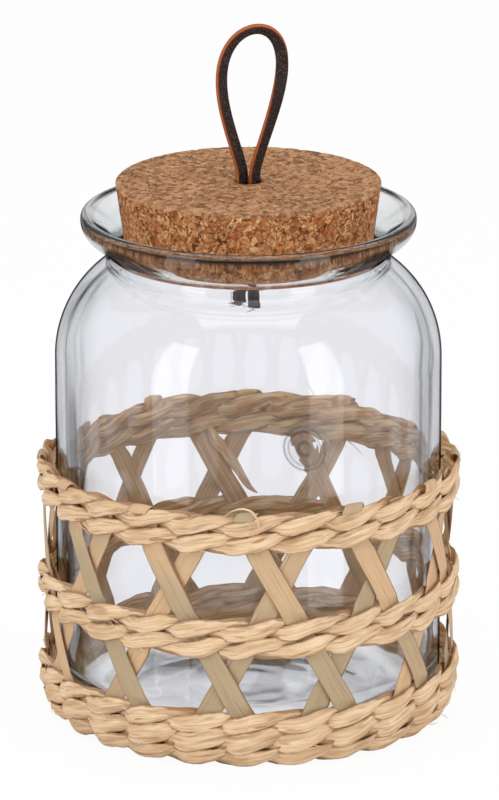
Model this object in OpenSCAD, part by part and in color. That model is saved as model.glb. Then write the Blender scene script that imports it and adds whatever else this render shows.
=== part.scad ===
// Glass storage jar with a cork stopper, a leather lifting loop and a woven leaf sleeve.
// Millimetres. The origin is the centre of the foot, +Z is up and the front is -Y.

/* [Glass jar] */
// Outer diameter of the glass body
jar_d = 150; // [142:1:158]
// Thickness of the side wall
glass_wall = 4; // [3:0.5:5]
// Thickness of the glass floor
floor_t = 9; // [6:0.5:12]
// Depth of the hollow under the base
punt_h = 2.5; // [1:0.5:4]
// Width of the flat ring that the jar stands on
foot_w = 7; // [4:0.5:10]
// Radius of the rounded heel
heel_r = 20; // [18:1:24]
// Height at which the shoulder starts to curve in
shoulder_z = 143; // [130:1:155]
// Radius of the shoulder's curve
shoulder_r = 44.5; // [42:0.5:47]
// Radius of the hollow curve between the shoulder and the neck
neck_fillet_r = 4; // [3:0.5:6]
// Radius of the same curve on the inside, below the cork
inner_fillet_r = 5; // [4:0.5:7]
// Thickness of the glass in the neck
neck_wall = 5.5; // [4.5:0.5:6.5]
// Height of the straight part of the neck
neck_h = 1; // [0.5:0.5:6]
// Radius of the tight curve where the rim leaves the neck
crook_r = 1.5; // [1:0.25:2]
// How far the rim reaches out beyond the neck
rim_reach = 10.8; // [9:0.2:13]
// Slope of the rim's underside, in degrees from level
rim_slope = 40; // [34:1:44]
// Radius of the curve that turns the rim upright
rim_curve_r = 8; // [6:0.5:10]
// Height of the rim's upright part below the lip
lip_rise = 0.8; // [0.4:0.2:2]
// Radius of the rounded lip
lip_r = 2.2; // [1.8:0.1:2.6]
// Depth of the cork's seat below the top of the lip
seat_depth = 10.5; // [9:0.5:12]
// Diameter of the round seal on the back of the jar
seal_d = 20; // [14:1:22]
// How far the seal stands out from the wall
seal_h = 1; // [0.6:0.1:1.4]
// Width of the seal's outer ring
seal_ring_w = 2; // [1:0.25:3]
// Height of the seal's centre
seal_z = 77; // [75:1:77]
// Turn of the seal from straight back towards +X, in degrees
seal_turn = 19.7; // [0:0.1:40]

/* [Cork] */
// Diameter of the cork at its top
cork_d = 102.6; // [98:0.2:106]
// Height of the cork
cork_h = 28.5; // [24:0.5:34]
// Slope of the cork's side, in degrees from upright
cork_taper = 7.6; // [5:0.1:9]
// How far the cork sits below the top of the lip
cork_sink = 16.3; // [13:0.1:18]
// Clearance between the cork and its seat
cork_fit = 0.3; // [0.2:0.05:0.5]
// Bevel on the cork's edges
cork_bevel = 1; // [0.5:0.1:2]

/* [Leather thong] */
// Width of the leather strap
strap_w = 4.8; // [4:0.2:5.4]
// Thickness of the leather strap
strap_t = 1.9; // [1.5:0.1:2.2]
// Height of the loop above the cork
loop_h = 63; // [50:0.5:75]
// Width of the loop, outside
loop_w = 27.6; // [22:0.2:36]
// How far the top of the loop leans sideways
loop_lean = 3.7; // [0:0.1:7]
// Turn of the strap at the loop's feet, in degrees
leg_turn = 45; // [35:1:55]
// Diameter of the knot under the cork
knot_d = 13.4; // [13:0.2:16]
// Tilt of the knot's wraps, in degrees
knot_tilt = 20; // [12:1:26]
// Length of the thong's free ends below the knot
tail_l = 12; // [8:0.5:18]
// How far the shorter free end splays out sideways
tail_splay = 3.2; // [0:0.2:5]
// Slit between the two legs that pass through the cork
leg_slit = 0.1; // [0.1:0.05:0.3]
// Running clearance of the thong at the cork and at its feet
thong_gap = 0.3; // [0.25:0.05:0.4]

/* [Woven sleeve] */
// Number of stakes that lean each way
stakes_each_way = 12; // [10:1:12]
// Width of a stake between the bands
stake_w = 8.3; // [6:0.1:9]
// Width of a stake where the weavers pinch it
pinch_w = 5.2; // [4:0.1:5.6]
// Height over which a stake widens beside a band
ease_h = 2.2; // [2:0.1:3]
// Radius of a stake's fold over the top edge
fold_r = 1.7; // [1.6:0.1:2]
// Thickness of a stake
stake_t = 0.8; // [0.6:0.1:1]
// Thickness of a weaver where it is fullest
weaver_t = 2.8; // [2.2:0.1:3]
// Clearance between leaves that lie on each other
leaf_gap = 0.4; // [0.3:0.05:0.5]
// Clearance between the glass and the sleeve
sleeve_gap = 0.4; // [0.3:0.05:0.8]
// Height of one woven row, from row to row
row_pitch = 7.2; // [6.8:0.1:7.6]
// Slit between two rows that lie on each other
row_slit = 0.6; // [0.5:0.1:1]
// Rise of a weaver across the face of a stake
weaver_rise = 1; // [0:0.1:1.2]
// How far a weaver lies level beyond the edges of a stake
hold_reach = 1.85; // [1.6:0.05:2]
// Height of the middle of the top band
top_band_z = 95; // [93:1:104]
// Height of the middle of the middle band
mid_band_z = 53; // [50:1:56]
// Clearance between the lowest row and the surface that the jar stands on
sleeve_lift = 0.25; // [0.2:0.05:2]
// Tilt of the lowest row, which curls in under the heel, in degrees
curl_tilt = 38; // [30:1:42]
// How far the lowest row is drawn in
curl_in = 3; // [2.6:0.1:3.6]
// Tilt of the row above the lowest, in degrees
second_tilt = 6; // [4:1:8]
// How far the row above the lowest is drawn in
second_in = 0.5; // [0.3:0.1:0.7]

/* [Hidden] */
$fn = 96;
// Extra length of a cutting solid, so that it runs right through
over = 1;

// Cork
cork_tan = tan(cork_taper);
seat_r = cork_d / 2 - (cork_h - cork_sink + seat_depth) * cork_tan;

// Glass jar, worked out from the cork's seat outwards
jar_r = jar_d / 2;
bore_r = seat_r + cork_fit;
neck_r = bore_r + neck_wall;
rim_r = neck_r + rim_reach;
shoulder_x = jar_r - shoulder_r;
inner_shoulder_r = shoulder_r - glass_wall;
shoulder_end = acos((neck_r + neck_fillet_r - shoulder_x) / (shoulder_r + neck_fillet_r));
inner_end = acos((bore_r + inner_fillet_r - shoulder_x) / (inner_shoulder_r + inner_fillet_r));
neck_z = shoulder_z + (shoulder_r + neck_fillet_r) * sin(shoulder_end);
bore_z = shoulder_z + (inner_shoulder_r + inner_fillet_r) * sin(inner_end);
rim_turn = 90 - rim_slope;
crook = [neck_r + crook_r, neck_z + neck_h];
crook_end = crook + crook_r * [cos(180 - rim_turn), sin(180 - rim_turn)];
rim_start_x = rim_r - rim_curve_r * (1 - cos(rim_turn));
rim_z = crook_end[1] + (rim_start_x - crook_end[0]) * tan(rim_slope) + rim_curve_r * sin(rim_turn);
lip_z = rim_z + lip_rise;
jar_h = lip_z + lip_r;
seat_z = jar_h - seat_depth;
mouth_slope = atan2(lip_z - seat_z, rim_r - bore_r - 2 * lip_r);
inner_heel_r = heel_r - glass_wall;
arc_steps = 8;
punt_steps = 4;

cork_z = jar_h - cork_sink;
cork_top = cork_z + cork_h;

// Thong: the loop's two feet roll just above the cork, one over each leg
leg_reach = (strap_w * cos(leg_turn) + strap_t * sin(leg_turn)) / 2;
leg_depth = (strap_w * sin(leg_turn) + strap_t * cos(leg_turn)) / 2;
leg_x = leg_reach + leg_slit / 2;
leg_corner = [leg_x + leg_reach, (strap_w * sin(leg_turn) - strap_t * cos(leg_turn)) / 2];
hole_r = norm(leg_corner) + thong_gap;
roll_r = leg_depth + leg_slit;
pivot_z = cork_top + thong_gap + roll_r;
loop_rise = loop_h - strap_t / 2 - thong_gap - roll_r;

// The loop is a teardrop: its halves swell most at the peak of sin(a) * sin(a / 2) ^ tear_power
tear_power = 1.6;
tear_cos = 1 / sqrt(tear_power + 2);
tear_peak = 2 * tear_cos * pow(1 - tear_cos * tear_cos, (tear_power + 1) / 2);
tear_swell = (loop_w / 2 - leg_reach - leg_x * tear_cos) / tear_peak;
lean_power = 3;
twist_from = 160;
twist_span = 150;
loop_steps = 36;
step_bias = 0.03;

// Knot
wrap_r = knot_d / 2;
knot_half_h = wrap_r * sin(knot_tilt) + strap_w / 2 * cos(knot_tilt);
knot_z = cork_z - thong_gap - knot_half_h;
core_h = 0.8 * strap_w;
short_tail_l = 0.8 * tail_l;
tail_steps = 3;

// Sleeve
pitch_turn = 360 / stakes_each_way;
weave_swing = stake_t / 2 + leaf_gap + weaver_t / 2;
sleeve_r = jar_r + sleeve_gap + weaver_t / 2 + weave_swing;
layer_slack = 0.15;
layer_swing = (stake_t + leaf_gap) / 2 + layer_slack;
row_half = (row_pitch - row_slit) / 2;
cross_swing = row_pitch / 4;
cross_half = cross_swing - leaf_gap / 2;
cross_t = 0.57 * weaver_t;
face_flat = 0.5;
cross_flat = 0.05;
hold_turn = (pinch_w / 2 + hold_reach) / sleeve_r * 180 / PI;
curl_z = sleeve_lift + weave_swing * sin(curl_tilt) + (row_half + weaver_rise / 2) * cos(curl_tilt);
curl_slack = 0.2;
second_z = curl_z + row_pitch + curl_slack;
first_z = second_z + row_pitch;
low_turn_z = first_z - row_pitch / 2;
high_turn_z = top_band_z - row_pitch / 2;
first_turn = 1;
lattice_lean = atan(pitch_turn / 2 * PI / 180 * sleeve_r / (high_turn_z - mid_band_z));

// Every row as [radius, height, tilt]
rows = [
    [sleeve_r, top_band_z + row_pitch / 2, 0],
    [sleeve_r, top_band_z - row_pitch / 2, 0],
    [sleeve_r, mid_band_z + row_pitch / 2, 0],
    [sleeve_r, mid_band_z - row_pitch / 2, 0],
    [sleeve_r, first_z, 0],
    [sleeve_r - second_in, second_z, second_tilt],
    [sleeve_r - curl_in, curl_z, curl_tilt]
];
row_names = ["top_upper", "top_lower", "middle_upper", "middle_lower",
    "base_upper", "base_second", "base_curled"];

// Points along an arc of radius r about the point c
function arc(c, r, from, to, steps = arc_steps) =
    [for (i = [0:steps]) c + r * [cos(from + (to - from) * i / steps), sin(from + (to - from) * i / steps)]];

// A point at a radius, height and turn, where turn 0 is the front and +X is at +90
function around(r, z, turn) = [r * sin(turn), -r * cos(turn), z];

// Triangles of a skin over rings with the same number of points each
function skin(rings, sides, closed) = concat(
    closed ? [] : [for (j = [1:sides - 2]) [0, j, j + 1]],
    closed ? [] : [for (j = [1:sides - 2]) [0, j + 1, j] + (rings - 1) * sides * [1, 1, 1]],
    [for (i = [0:rings - (closed ? 1 : 2)], j = [0:sides - 1], half = [0, 1])
        let (a = i * sides, b = ((i + 1) % rings) * sides, k = (j + 1) % sides)
        half == 0 ? [a + j, b + j, b + k] : [a + j, b + k, a + k]]
);

// Outline of the jar's wall: up the outside, over the lip and down the inside
function jar_outline() = concat(
    [for (i = [0:punt_steps]) let (s = i / punt_steps) [(jar_r - heel_r - foot_w) * s, punt_h * (1 - s * s)]],
    arc([jar_r - heel_r, heel_r], heel_r, -90, 0),
    arc([shoulder_x, shoulder_z], shoulder_r, 0, shoulder_end),
    arc([neck_r + neck_fillet_r, neck_z], neck_fillet_r, 180 + shoulder_end, 180, 4),
    arc(crook, crook_r, 180, 180 - rim_turn, 3),
    arc([rim_r - rim_curve_r, rim_z], rim_curve_r, -rim_turn, 0, 5),
    arc([rim_r - lip_r, lip_z], lip_r, 0, 90 + mouth_slope, 6),
    arc([bore_r + lip_r, seat_z], lip_r, 90 + mouth_slope, 180, 4),
    arc([bore_r + inner_fillet_r, bore_z], inner_fillet_r, 180, 180 + inner_end, 4),
    arc([shoulder_x, shoulder_z], inner_shoulder_r, inner_end, 0),
    arc([jar_r - heel_r, floor_t + inner_heel_r], inner_heel_r, 0, -90),
    [[0, floor_t]]
);

// A round tablet on the back wall, as thick as the wall plus seal_h, of outer diameter d
module seal_disc(d, bore = 0) {
    intersection() {
        translate([0, 0, seal_z - seal_d])
            difference() {
                cylinder(r = jar_r + seal_h, h = 2 * seal_d);
                translate([0, 0, -over]) cylinder(r = jar_r - glass_wall / 2, h = 2 * (seal_d + over));
            }
        translate([0, 0, seal_z]) rotate([-90, 0, -seal_turn])
            difference() {
                cylinder(d = d, h = jar_r + seal_h + over);
                if (bore > 0) translate([0, 0, -over]) cylinder(d = bore, h = jar_r + seal_h + 3 * over);
            }
    }
}

module glass_jar() {
    color([0.78, 0.86, 0.84, 0.4]) {
        rotate_extrude() polygon(jar_outline());
        seal_disc(seal_d, seal_d - 2 * seal_ring_w);
        seal_disc(seal_d / 2);
    }
}

// The cork is one turned piece with the thong's hole through it
module cork_stopper() {
    top_r = cork_d / 2;
    foot_r = top_r - cork_h * cork_tan;
    color([0.78, 0.56, 0.36])
        rotate_extrude()
            polygon([
                [hole_r, cork_z],
                [foot_r - cork_bevel, cork_z],
                [foot_r + cork_bevel * cork_tan, cork_z + cork_bevel],
                [top_r - cork_bevel * cork_tan, cork_top - cork_bevel],
                [top_r - cork_bevel, cork_top],
                [hole_r, cork_top]
            ]);
}

// A flat strap along a path of [x, z] points. At twist 0 its broad face looks to the front,
// and a positive twist turns that face to the right-hand side of the way along the path
module strap(path, twists) {
    last = len(path) - 1;
    points = [for (i = [0:last])
        let (run = path[min(i + 1, last)] - path[max(i - 1, 0)], t = run / norm(run),
            inward = [t[1], 0, -t[0]], front = [0, -1, 0],
            broad = cos(twists[i]) * front + sin(twists[i]) * inward,
            edge = sin(twists[i]) * front - cos(twists[i]) * inward)
        for (corner = [[-1, -1], [1, -1], [1, 1], [-1, 1]])
            [path[i][0], 0, path[i][1]] + corner[0] * strap_w / 2 * edge + corner[1] * strap_t / 2 * broad];
    polyhedron(points = points, faces = skin(last + 1, 4, false));
}

// Centre line of the loop from its left foot at 0 degrees, over the top, to its right foot at 360
function tear(a) =
    let (rise = (1 - cos(a)) / 2,
        half = leg_x * cos(a / 2) + tear_swell * sin(a) * pow(sin(a / 2), tear_power))
    [loop_lean * pow(rise, lean_power) - half, loop_rise * rise];

// Twist of the strap along the loop: it turns over between the top and the right foot
function tear_twist(a) = leg_turn * cos(180 * max(0, min(1, (a - twist_from) / twist_span)));

module thong_loop() {
    turns = [for (i = [0:loop_steps]) 360 * (i / loop_steps - step_bias * sin(720 * i / loop_steps))];
    color([0.22, 0.14, 0.12])
        translate([0, 0, pivot_z]) {
            strap([for (a = turns) tear(a)], [for (a = turns) tear_twist(a)]);
            for (side = [-1, 1])
                translate([side * leg_x, 0, 0]) rotate([0, 90, 0])
                    cylinder(r = roll_r, h = 2 * leg_reach, center = true);
        }
}

// One wrap of the knot: a ring of strap, tilted
module wrap(tilt) {
    rotate([0, tilt, 0])
        difference() {
            cylinder(r = wrap_r, h = strap_w, center = true);
            cylinder(r = wrap_r - strap_t, h = strap_w + 2 * over, center = true);
        }
}

// One free end of the thong, from inside the knot to length below it
module tail(x, splay, length) {
    shares = [for (i = [0:tail_steps]) i / tail_steps];
    strap([for (s = shares) [x + splay * s * s, -(knot_half_h + length) * s]], [for (s = shares) leg_turn]);
}

// Both legs pass down the cork's hole, are knotted under it and end in two short tails
module thong_knot() {
    leg_h = pivot_z - knot_z;
    color([0.22, 0.14, 0.12])
        difference() {
            translate([0, 0, knot_z]) {
                for (side = [-1, 1])
                    translate([side * leg_x, 0, leg_h / 2]) rotate([0, 0, leg_turn])
                        cube([strap_w, strap_t, leg_h], center = true);
                wrap(knot_tilt);
                wrap(-knot_tilt);
                cylinder(r = wrap_r - strap_t / 2, h = core_h, center = true);
                tail(-strap_t, -tail_splay, short_tail_l);
                tail(strap_t, 0, tail_l);
            }
            translate([0, 0, pivot_z])
                rotate([0, 90, 0]) cylinder(r = roll_r + thong_gap, h = knot_d, center = true);
        }
}

// Turn of a stake's middle at height z: it crosses half a pitch from band to band
function stake_turn(way, k, z) =
    let (share = z > mid_band_z ? (mid_band_z - z) / (high_turn_z - mid_band_z)
        : (mid_band_z - z) / (mid_band_z - low_turn_z))
    first_turn + (way > 0 ? pitch_turn / 2 : 0) + k * pitch_turn
        + way * pitch_turn / 2 * max(-1, min(1, share));

// Stations of a stake from its foot to its top, as [radius, height, width]
function stake_stations(way) =
    let (panel_r = sleeve_r + way * layer_swing, curl = rows[6], second = rows[5],
        wide = stake_w / cos(lattice_lean), up = top_band_z + row_pitch, mid_up = mid_band_z + row_pitch,
        mid_down = mid_band_z - row_pitch, down = first_z + row_pitch / 2)
    concat(
        [[curl[0] - row_half * sin(curl_tilt), curl[1] - row_half * cos(curl_tilt), pinch_w],
            [curl[0] + row_half * sin(curl_tilt), curl[1] + row_half * cos(curl_tilt), pinch_w],
            [second[0] - row_half * sin(second_tilt), second[1] - row_half * cos(second_tilt), pinch_w],
            [sleeve_r, low_turn_z, pinch_w],
            [sleeve_r, down, pinch_w],
            [panel_r, down + ease_h, wide],
            [panel_r, mid_down - ease_h, wide],
            [sleeve_r, mid_down, pinch_w],
            [sleeve_r, mid_up, pinch_w],
            [panel_r, mid_up + ease_h, wide],
            [panel_r, top_band_z - row_pitch - ease_h, wide],
            [sleeve_r, top_band_z - row_pitch, pinch_w],
            [sleeve_r, high_turn_z, pinch_w],
            [sleeve_r, up - row_slit / 2, pinch_w]],
        [for (a = way < 0 ? [] : [150:-45:15])
            [sleeve_r + fold_r * (1 + cos(a)), up + fold_r * sin(a), pinch_w]]
    );

// One flat leaf of the sleeve's open lattice. Those with way 1 lie outside and fold over the top edge
module stake(way, k) {
    stations = stake_stations(way);
    last = len(stations) - 1;
    points = [for (i = [0:last])
        let (s = stations[i], ahead = stations[min(i + 1, last)], behind = stations[max(i - 1, 0)],
            run = [ahead[0] - behind[0], ahead[1] - behind[1]],
            n = [run[1], -run[0]] / norm(run) * stake_t / 2, turn = stake_turn(way, k, s[1]))
        for (corner = [[-1, -1], [-1, 1], [1, 1], [1, -1]])
            around(s[0] + corner[1] * n[0], s[1] + corner[1] * n[1], turn)
                + corner[0] * s[2] / 2 * [cos(turn), sin(turn), 0]];
    polyhedron(points = points, faces = skin(last + 1, 4, false));
}

// Points round a weaver's section: the middle is moved out and up, and it ends in thin edges
function weaver_section(row, turn, out, up, half_t, half_h, flat) =
    [for (p = [[half_t, -flat], [0, -1], [-half_t, -flat], [-half_t, flat], [0, 1], [half_t, flat]])
        let (n = out + p[0], h = up + p[1] * half_h)
        around(row[0] + n * cos(row[2]) + h * sin(row[2]), row[1] - n * sin(row[2]) + h * cos(row[2]), turn)];

// One of a row's two weavers. It runs round the jar, in front of one stake and behind the next
module weaver(row, side) {
    low = (stake_turn(-1, 0, row[1]) + pitch_turn) % pitch_turn;
    high = stake_turn(1, 0, row[1]) % pitch_turn;
    near = min(low, high);
    far = max(low, high);
    points = [for (k = [0:stakes_each_way - 1], step = [0, 1])
        let (here = (step == 0 ? near : far) + k * pitch_turn,
            next = (step == 0 ? far : near + pitch_turn) + k * pitch_turn,
            face = step == side ? 1 : -1)
        for (part = [-1, 1, 2])
            each part < 2
                ? weaver_section(row, here + part * hold_turn, face * weave_swing,
                    face * part * weaver_rise / 2, weaver_t / 2, row_half, face_flat)
                : weaver_section(row, (here + next) / 2, 0, face * cross_swing, cross_t / 2, cross_half,
                    cross_flat)];
    polyhedron(points = points, faces = skin(6 * stakes_each_way, 6, true));
}

glass_jar();
cork_stopper();
thong_loop();
thong_knot();
for (k = [1:stakes_each_way]) {
    color([0.80, 0.70, 0.50]) stake(1, k);
    color([0.76, 0.66, 0.46]) stake(-1, k);
}
for (i = [0:len(rows) - 1], side = [0, 1])
    color([0.88, 0.73, 0.52]) weaver(rows[i], side);
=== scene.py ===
import math
import bpy
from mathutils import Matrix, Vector, noise


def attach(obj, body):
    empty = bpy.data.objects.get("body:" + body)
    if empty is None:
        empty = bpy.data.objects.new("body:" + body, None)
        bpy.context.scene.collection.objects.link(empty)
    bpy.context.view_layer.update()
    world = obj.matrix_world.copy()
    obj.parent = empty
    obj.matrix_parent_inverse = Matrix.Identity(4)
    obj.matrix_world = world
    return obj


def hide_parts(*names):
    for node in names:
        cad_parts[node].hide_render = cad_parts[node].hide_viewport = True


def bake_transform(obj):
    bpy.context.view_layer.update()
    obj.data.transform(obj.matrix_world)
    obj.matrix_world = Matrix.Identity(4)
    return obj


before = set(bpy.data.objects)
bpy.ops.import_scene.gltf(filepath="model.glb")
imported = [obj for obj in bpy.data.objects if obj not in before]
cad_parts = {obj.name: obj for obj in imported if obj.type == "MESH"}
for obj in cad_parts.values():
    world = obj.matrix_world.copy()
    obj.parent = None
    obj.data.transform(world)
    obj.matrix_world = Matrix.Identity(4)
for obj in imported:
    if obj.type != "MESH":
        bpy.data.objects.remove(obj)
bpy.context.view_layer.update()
mm = 0.001
turnRad = math.pi / 180


# Sockets and trees
class Val:
    # wraps one socket, so that sums and products of sockets read as plain expressions
    def __init__(self, tree, socket):
        self.tree, self.socket = tree, socket

    def math(self, kind, *others):
        return self.tree.put("ShaderNodeMath", {"operation": kind}, [self, *others])

    def __add__(self, other): return self.math("ADD", other)
    def __radd__(self, other): return self.math("ADD", other)
    def __sub__(self, other): return self.math("SUBTRACT", other)
    def __rsub__(self, other): return (self * -1.0) + other
    def __mul__(self, other): return self.math("MULTIPLY", other)
    def __rmul__(self, other): return self.math("MULTIPLY", other)
    def __truediv__(self, other): return self.math("DIVIDE", other)
    def __neg__(self): return self * -1.0
    def __pow__(self, other): return self.math("POWER", other)

    def sin(self): return self.math("SINE")
    def cos(self): return self.math("COSINE")
    def abs(self): return self.math("ABSOLUTE")
    def least(self, other): return self.math("MINIMUM", other)
    def most(self, other): return self.math("MAXIMUM", other)


class Tree:
    def __init__(self, nodeTree):
        self.nt = nodeTree

    def put(self, kind, settings=None, feeds=(), out=0):
        # adds one node from its type, its settings and the values or links of its sockets
        node = self.nt.nodes.new(kind)
        for name, value in (settings or {}).items():
            if name == "stops":
                ramp = node.color_ramp
                while len(ramp.elements) < len(value):
                    ramp.elements.new(0.5)
                for element, (at, colour) in zip(ramp.elements, value):
                    element.position, element.color = at, (*colour, 1.0)
            else:
                setattr(node, name, value)
        for key, value in (feeds.items() if isinstance(feeds, dict) else enumerate(feeds)):
            self.feed(node.inputs[key], value)
        return Val(self, node.outputs[out])

    def feed(self, socket, value):
        if isinstance(value, Val):
            self.nt.links.new(value.socket, socket)
        elif value is not None:
            socket.default_value = (*value, 1.0) if socket.type == "RGBA" and len(value) == 3 else value

    def vec(self, x, y, z):
        return self.put("ShaderNodeCombineXYZ", None, [x, y, z])

    def part(self, vector, axis):
        return self.put("ShaderNodeSeparateXYZ", None, [vector], out=axis)

    def step(self, value, low, high, toLow=0.0, toHigh=1.0):
        # a smooth step of value between low and high
        return self.put("ShaderNodeMapRange", {"interpolation_type": "SMOOTHSTEP"}, [value, low, high, toLow, toHigh])

    def noise(self, vector, scale, detail=2.0, rough=0.5, warp=0.0):
        return self.put("ShaderNodeTexNoise", None, {"Vector": vector, "Scale": scale, "Detail": detail,
                                                    "Roughness": rough, "Distortion": warp})

    def stretch(self, vector, scale, shift=(0, 0, 0)):
        return self.put("ShaderNodeMapping", None, {"Vector": vector, "Scale": scale, "Location": shift})

    def mix(self, factor, a, b, blend="MIX"):
        return self.put("ShaderNodeMix", {"data_type": "RGBA", "blend_type": blend}, {0: factor, 6: a, 7: b}, out=2)

    def ramp(self, factor, stops):
        return self.put("ShaderNodeValToRGB", {"stops": stops}, [factor])

    def bump(self, height, strength, distance, under=None):
        return self.put("ShaderNodeBump", None, {"Height": height, "Strength": strength, "Distance": distance,
                                                "Normal": under})


def rgb(r, g, b):
    # a colour as a screen shows it, 0 to 255, in linear light
    return tuple(((c / 255 + 0.055) / 1.055) ** 2.4 if c > 10 else c / 255 / 12.92 for c in (r, g, b))


def newMaterial(name):
    material = bpy.data.materials.new(name)
    material.use_nodes = True
    tree = Tree(material.node_tree)
    for node in list(tree.nt.nodes):
        if node.type != "OUTPUT_MATERIAL":
            tree.nt.nodes.remove(node)
    return material, tree, tree.nt.nodes[0]


def finish(material, tree, out, colour, roughness, normal=None, **plain):
    # a Principled surface; plain holds what is the same all over
    surface = tree.put("ShaderNodeBsdfPrincipled", None, {"Base Color": colour, "Roughness": roughness, "Normal": normal})
    for name, value in plain.items():
        tree.feed(surface.socket.node.inputs[name.replace("_", " ")], value)
    tree.nt.links.new(surface.socket, out.inputs["Surface"])
    return material


# Meshes
def gridFaces(rows, columns, closedRows=False, closedColumns=False):
    faces = []
    for i in range(rows if closedRows else rows - 1):
        for j in range(columns if closedColumns else columns - 1):
            a, b, k = i * columns, ((i + 1) % rows) * columns, (j + 1) % columns
            faces.append((a + j, b + j, b + k, a + k))
    return faces


def turnOut(mesh):
    # a closed mesh whose faces point inwards is turned
    mesh.calc_loop_triangles()
    volume = 0.0
    for t in mesh.loop_triangles:
        a, b, c = (mesh.vertices[v].co for v in t.vertices)
        volume += a.dot(b.cross(c))
    if volume < 0:
        mesh.flip_normals()


def addPiece(name, mesh, materials, body, nodes=()):
    for material in materials:
        mesh.materials.append(material)
    mesh.polygons.foreach_set("use_smooth", [True] * len(mesh.polygons))
    turnOut(mesh)
    mesh.update()
    piece = bpy.data.objects.new(name, mesh)
    bpy.context.collection.objects.link(piece)
    if body:
        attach(piece, body)
    if nodes:
        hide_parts(*nodes)
    return piece


def meshFrom(name, points, faces):
    mesh = bpy.data.meshes.new(name)
    mesh.from_pydata([tuple(c * mm for c in p) for p in points], [], faces)
    return mesh


def arc(cx, cz, r, start, end, steps):
    return [(cx + r * math.cos(a * turnRad), cz + r * math.sin(a * turnRad))
            for a in (start + (end - start) * i / steps for i in range(steps + 1))]


# Camera: nearly parallel view from 17 degrees above level, as in the photograph
view = {"aim": (0.4, 0.0, 124.2), "rise": 17.0, "distance": 3000.0, "frameHeight": 310.9}
cameraData = bpy.data.cameras.new("camera")
camera = bpy.data.objects.new("camera", cameraData)
bpy.context.collection.objects.link(camera)
back = Vector((0, -math.cos(view["rise"] * turnRad), math.sin(view["rise"] * turnRad)))
camera.location = (Vector(view["aim"]) + back * view["distance"]) * mm
camera.rotation_euler = (-back).to_track_quat("-Z", "Y").to_euler()
cameraData.sensor_width = 36
cameraData.lens = 36 * view["distance"] / view["frameHeight"]
cameraData.clip_end = 20
bpy.context.scene.camera = camera

# Light: an even white surround and two tall soft boxes, which the glass mirrors
light = {"surround": 0.70, "mirrored": 0.45, "boxPower": 2.9, "boxAcross": 0.3, "boxTall": 1.6, "boxTurn": 45.0, "boxFar": 0.8,
         "topPower": 4.6, "topAcross": 1.0, "floorGlow": 0.94}
world = bpy.data.worlds.new("surround")
bpy.context.scene.world = world
world.use_nodes = True
sky = Tree(world.node_tree)
for node in list(sky.nt.nodes):
    sky.nt.nodes.remove(node)


def rayKinds(tree):
    outs = tree.put("ShaderNodeLightPath").socket.node.outputs
    direct = Val(tree, outs["Is Camera Ray"]).most(Val(tree, outs["Is Transmission Ray"]))
    return direct, Val(tree, outs["Is Glossy Ray"])


direct, glossy = rayKinds(sky)
skyStrength = direct.most(glossy * light["mirrored"]).most((1.0 - glossy) * light["surround"])
skyShader = sky.put("ShaderNodeBackground", None, {"Color": (1.0, 1.0, 1.0), "Strength": skyStrength})
skyOut = sky.nt.nodes.new("ShaderNodeOutputWorld")
sky.nt.links.new(skyShader.socket, skyOut.inputs["Surface"])


def addBox(name, power, sizeX, sizeY, place, aim):
    lamp = bpy.data.lights.new(name, "AREA")
    lamp.shape, lamp.size, lamp.size_y, lamp.energy = "RECTANGLE", sizeX, sizeY, power
    lampObject = bpy.data.objects.new(name, lamp)
    bpy.context.collection.objects.link(lampObject)
    lampObject.location = place
    lampObject.rotation_euler = (Vector(aim) - Vector(place)).to_track_quat("-Z", "Y").to_euler()
    return lampObject


for side, name in ((-1, "softBoxLeft"), (1, "softBoxRight")):
    a = light["boxTurn"] * turnRad
    place = (side * light["boxFar"] * math.sin(a), -light["boxFar"] * math.cos(a), 0.0)
    addBox(name, light["boxPower"], light["boxAcross"], light["boxTall"], place, (0, 0, 0.0))
addBox("softBoxTop", light["topPower"], light["topAcross"], light["topAcross"], (0, 0, 1.3), (0, 0, 0.1))

floorMaterial, tree, out = newMaterial("paleFloor")
diffuse = tree.put("ShaderNodeBsdfDiffuse", None, {"Color": (0.93, 0.93, 0.93)})
glow = tree.put("ShaderNodeEmission", None, {"Color": (1.0, 1.0, 1.0), "Strength": 1.0})
direct, glossy = rayKinds(tree)
both = tree.put("ShaderNodeMixShader", None, [direct.most(glossy) * light["floorGlow"], diffuse, glow])
tree.nt.links.new(both.socket, out.inputs["Surface"])
floorMesh = meshFrom("floor", [(-3000, -3000, 0), (3000, -3000, 0), (3000, 3000, 0), (-3000, 3000, 0)], [(0, 1, 2, 3)])
floorMesh.materials.append(floorMaterial)
floor = bpy.data.objects.new("floor", floorMesh)
bpy.context.collection.objects.link(floor)
floor.visible_glossy = False
print("stage: camera, light and floor")

# Glass jar
jar = {"radius": 75.0, "wall": 4.0, "floor": 9.0, "punt": 2.5, "foot": 7.0, "heel": 20.0, "shoulderZ": 143.0,
       "shoulder": 44.5, "fillet": 4.0, "innerFillet": 5.0, "neckWall": 5.5, "neckRise": 1.0, "crook": 1.5,
       "reach": 10.8, "slope": 40.0, "rimCurve": 8.0, "lipRise": 0.8, "lip": 2.2, "seatDepth": 10.5,
       "bore": 48.571, "sealTurn": 161.3, "sealZ": 84.0, "sealRise": 0.35, "sealRing": 9.0, "sealDisc": 5.0,
       "sealDepth": 0.3, "waves": 0.16, "swirl": 0.16}


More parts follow.
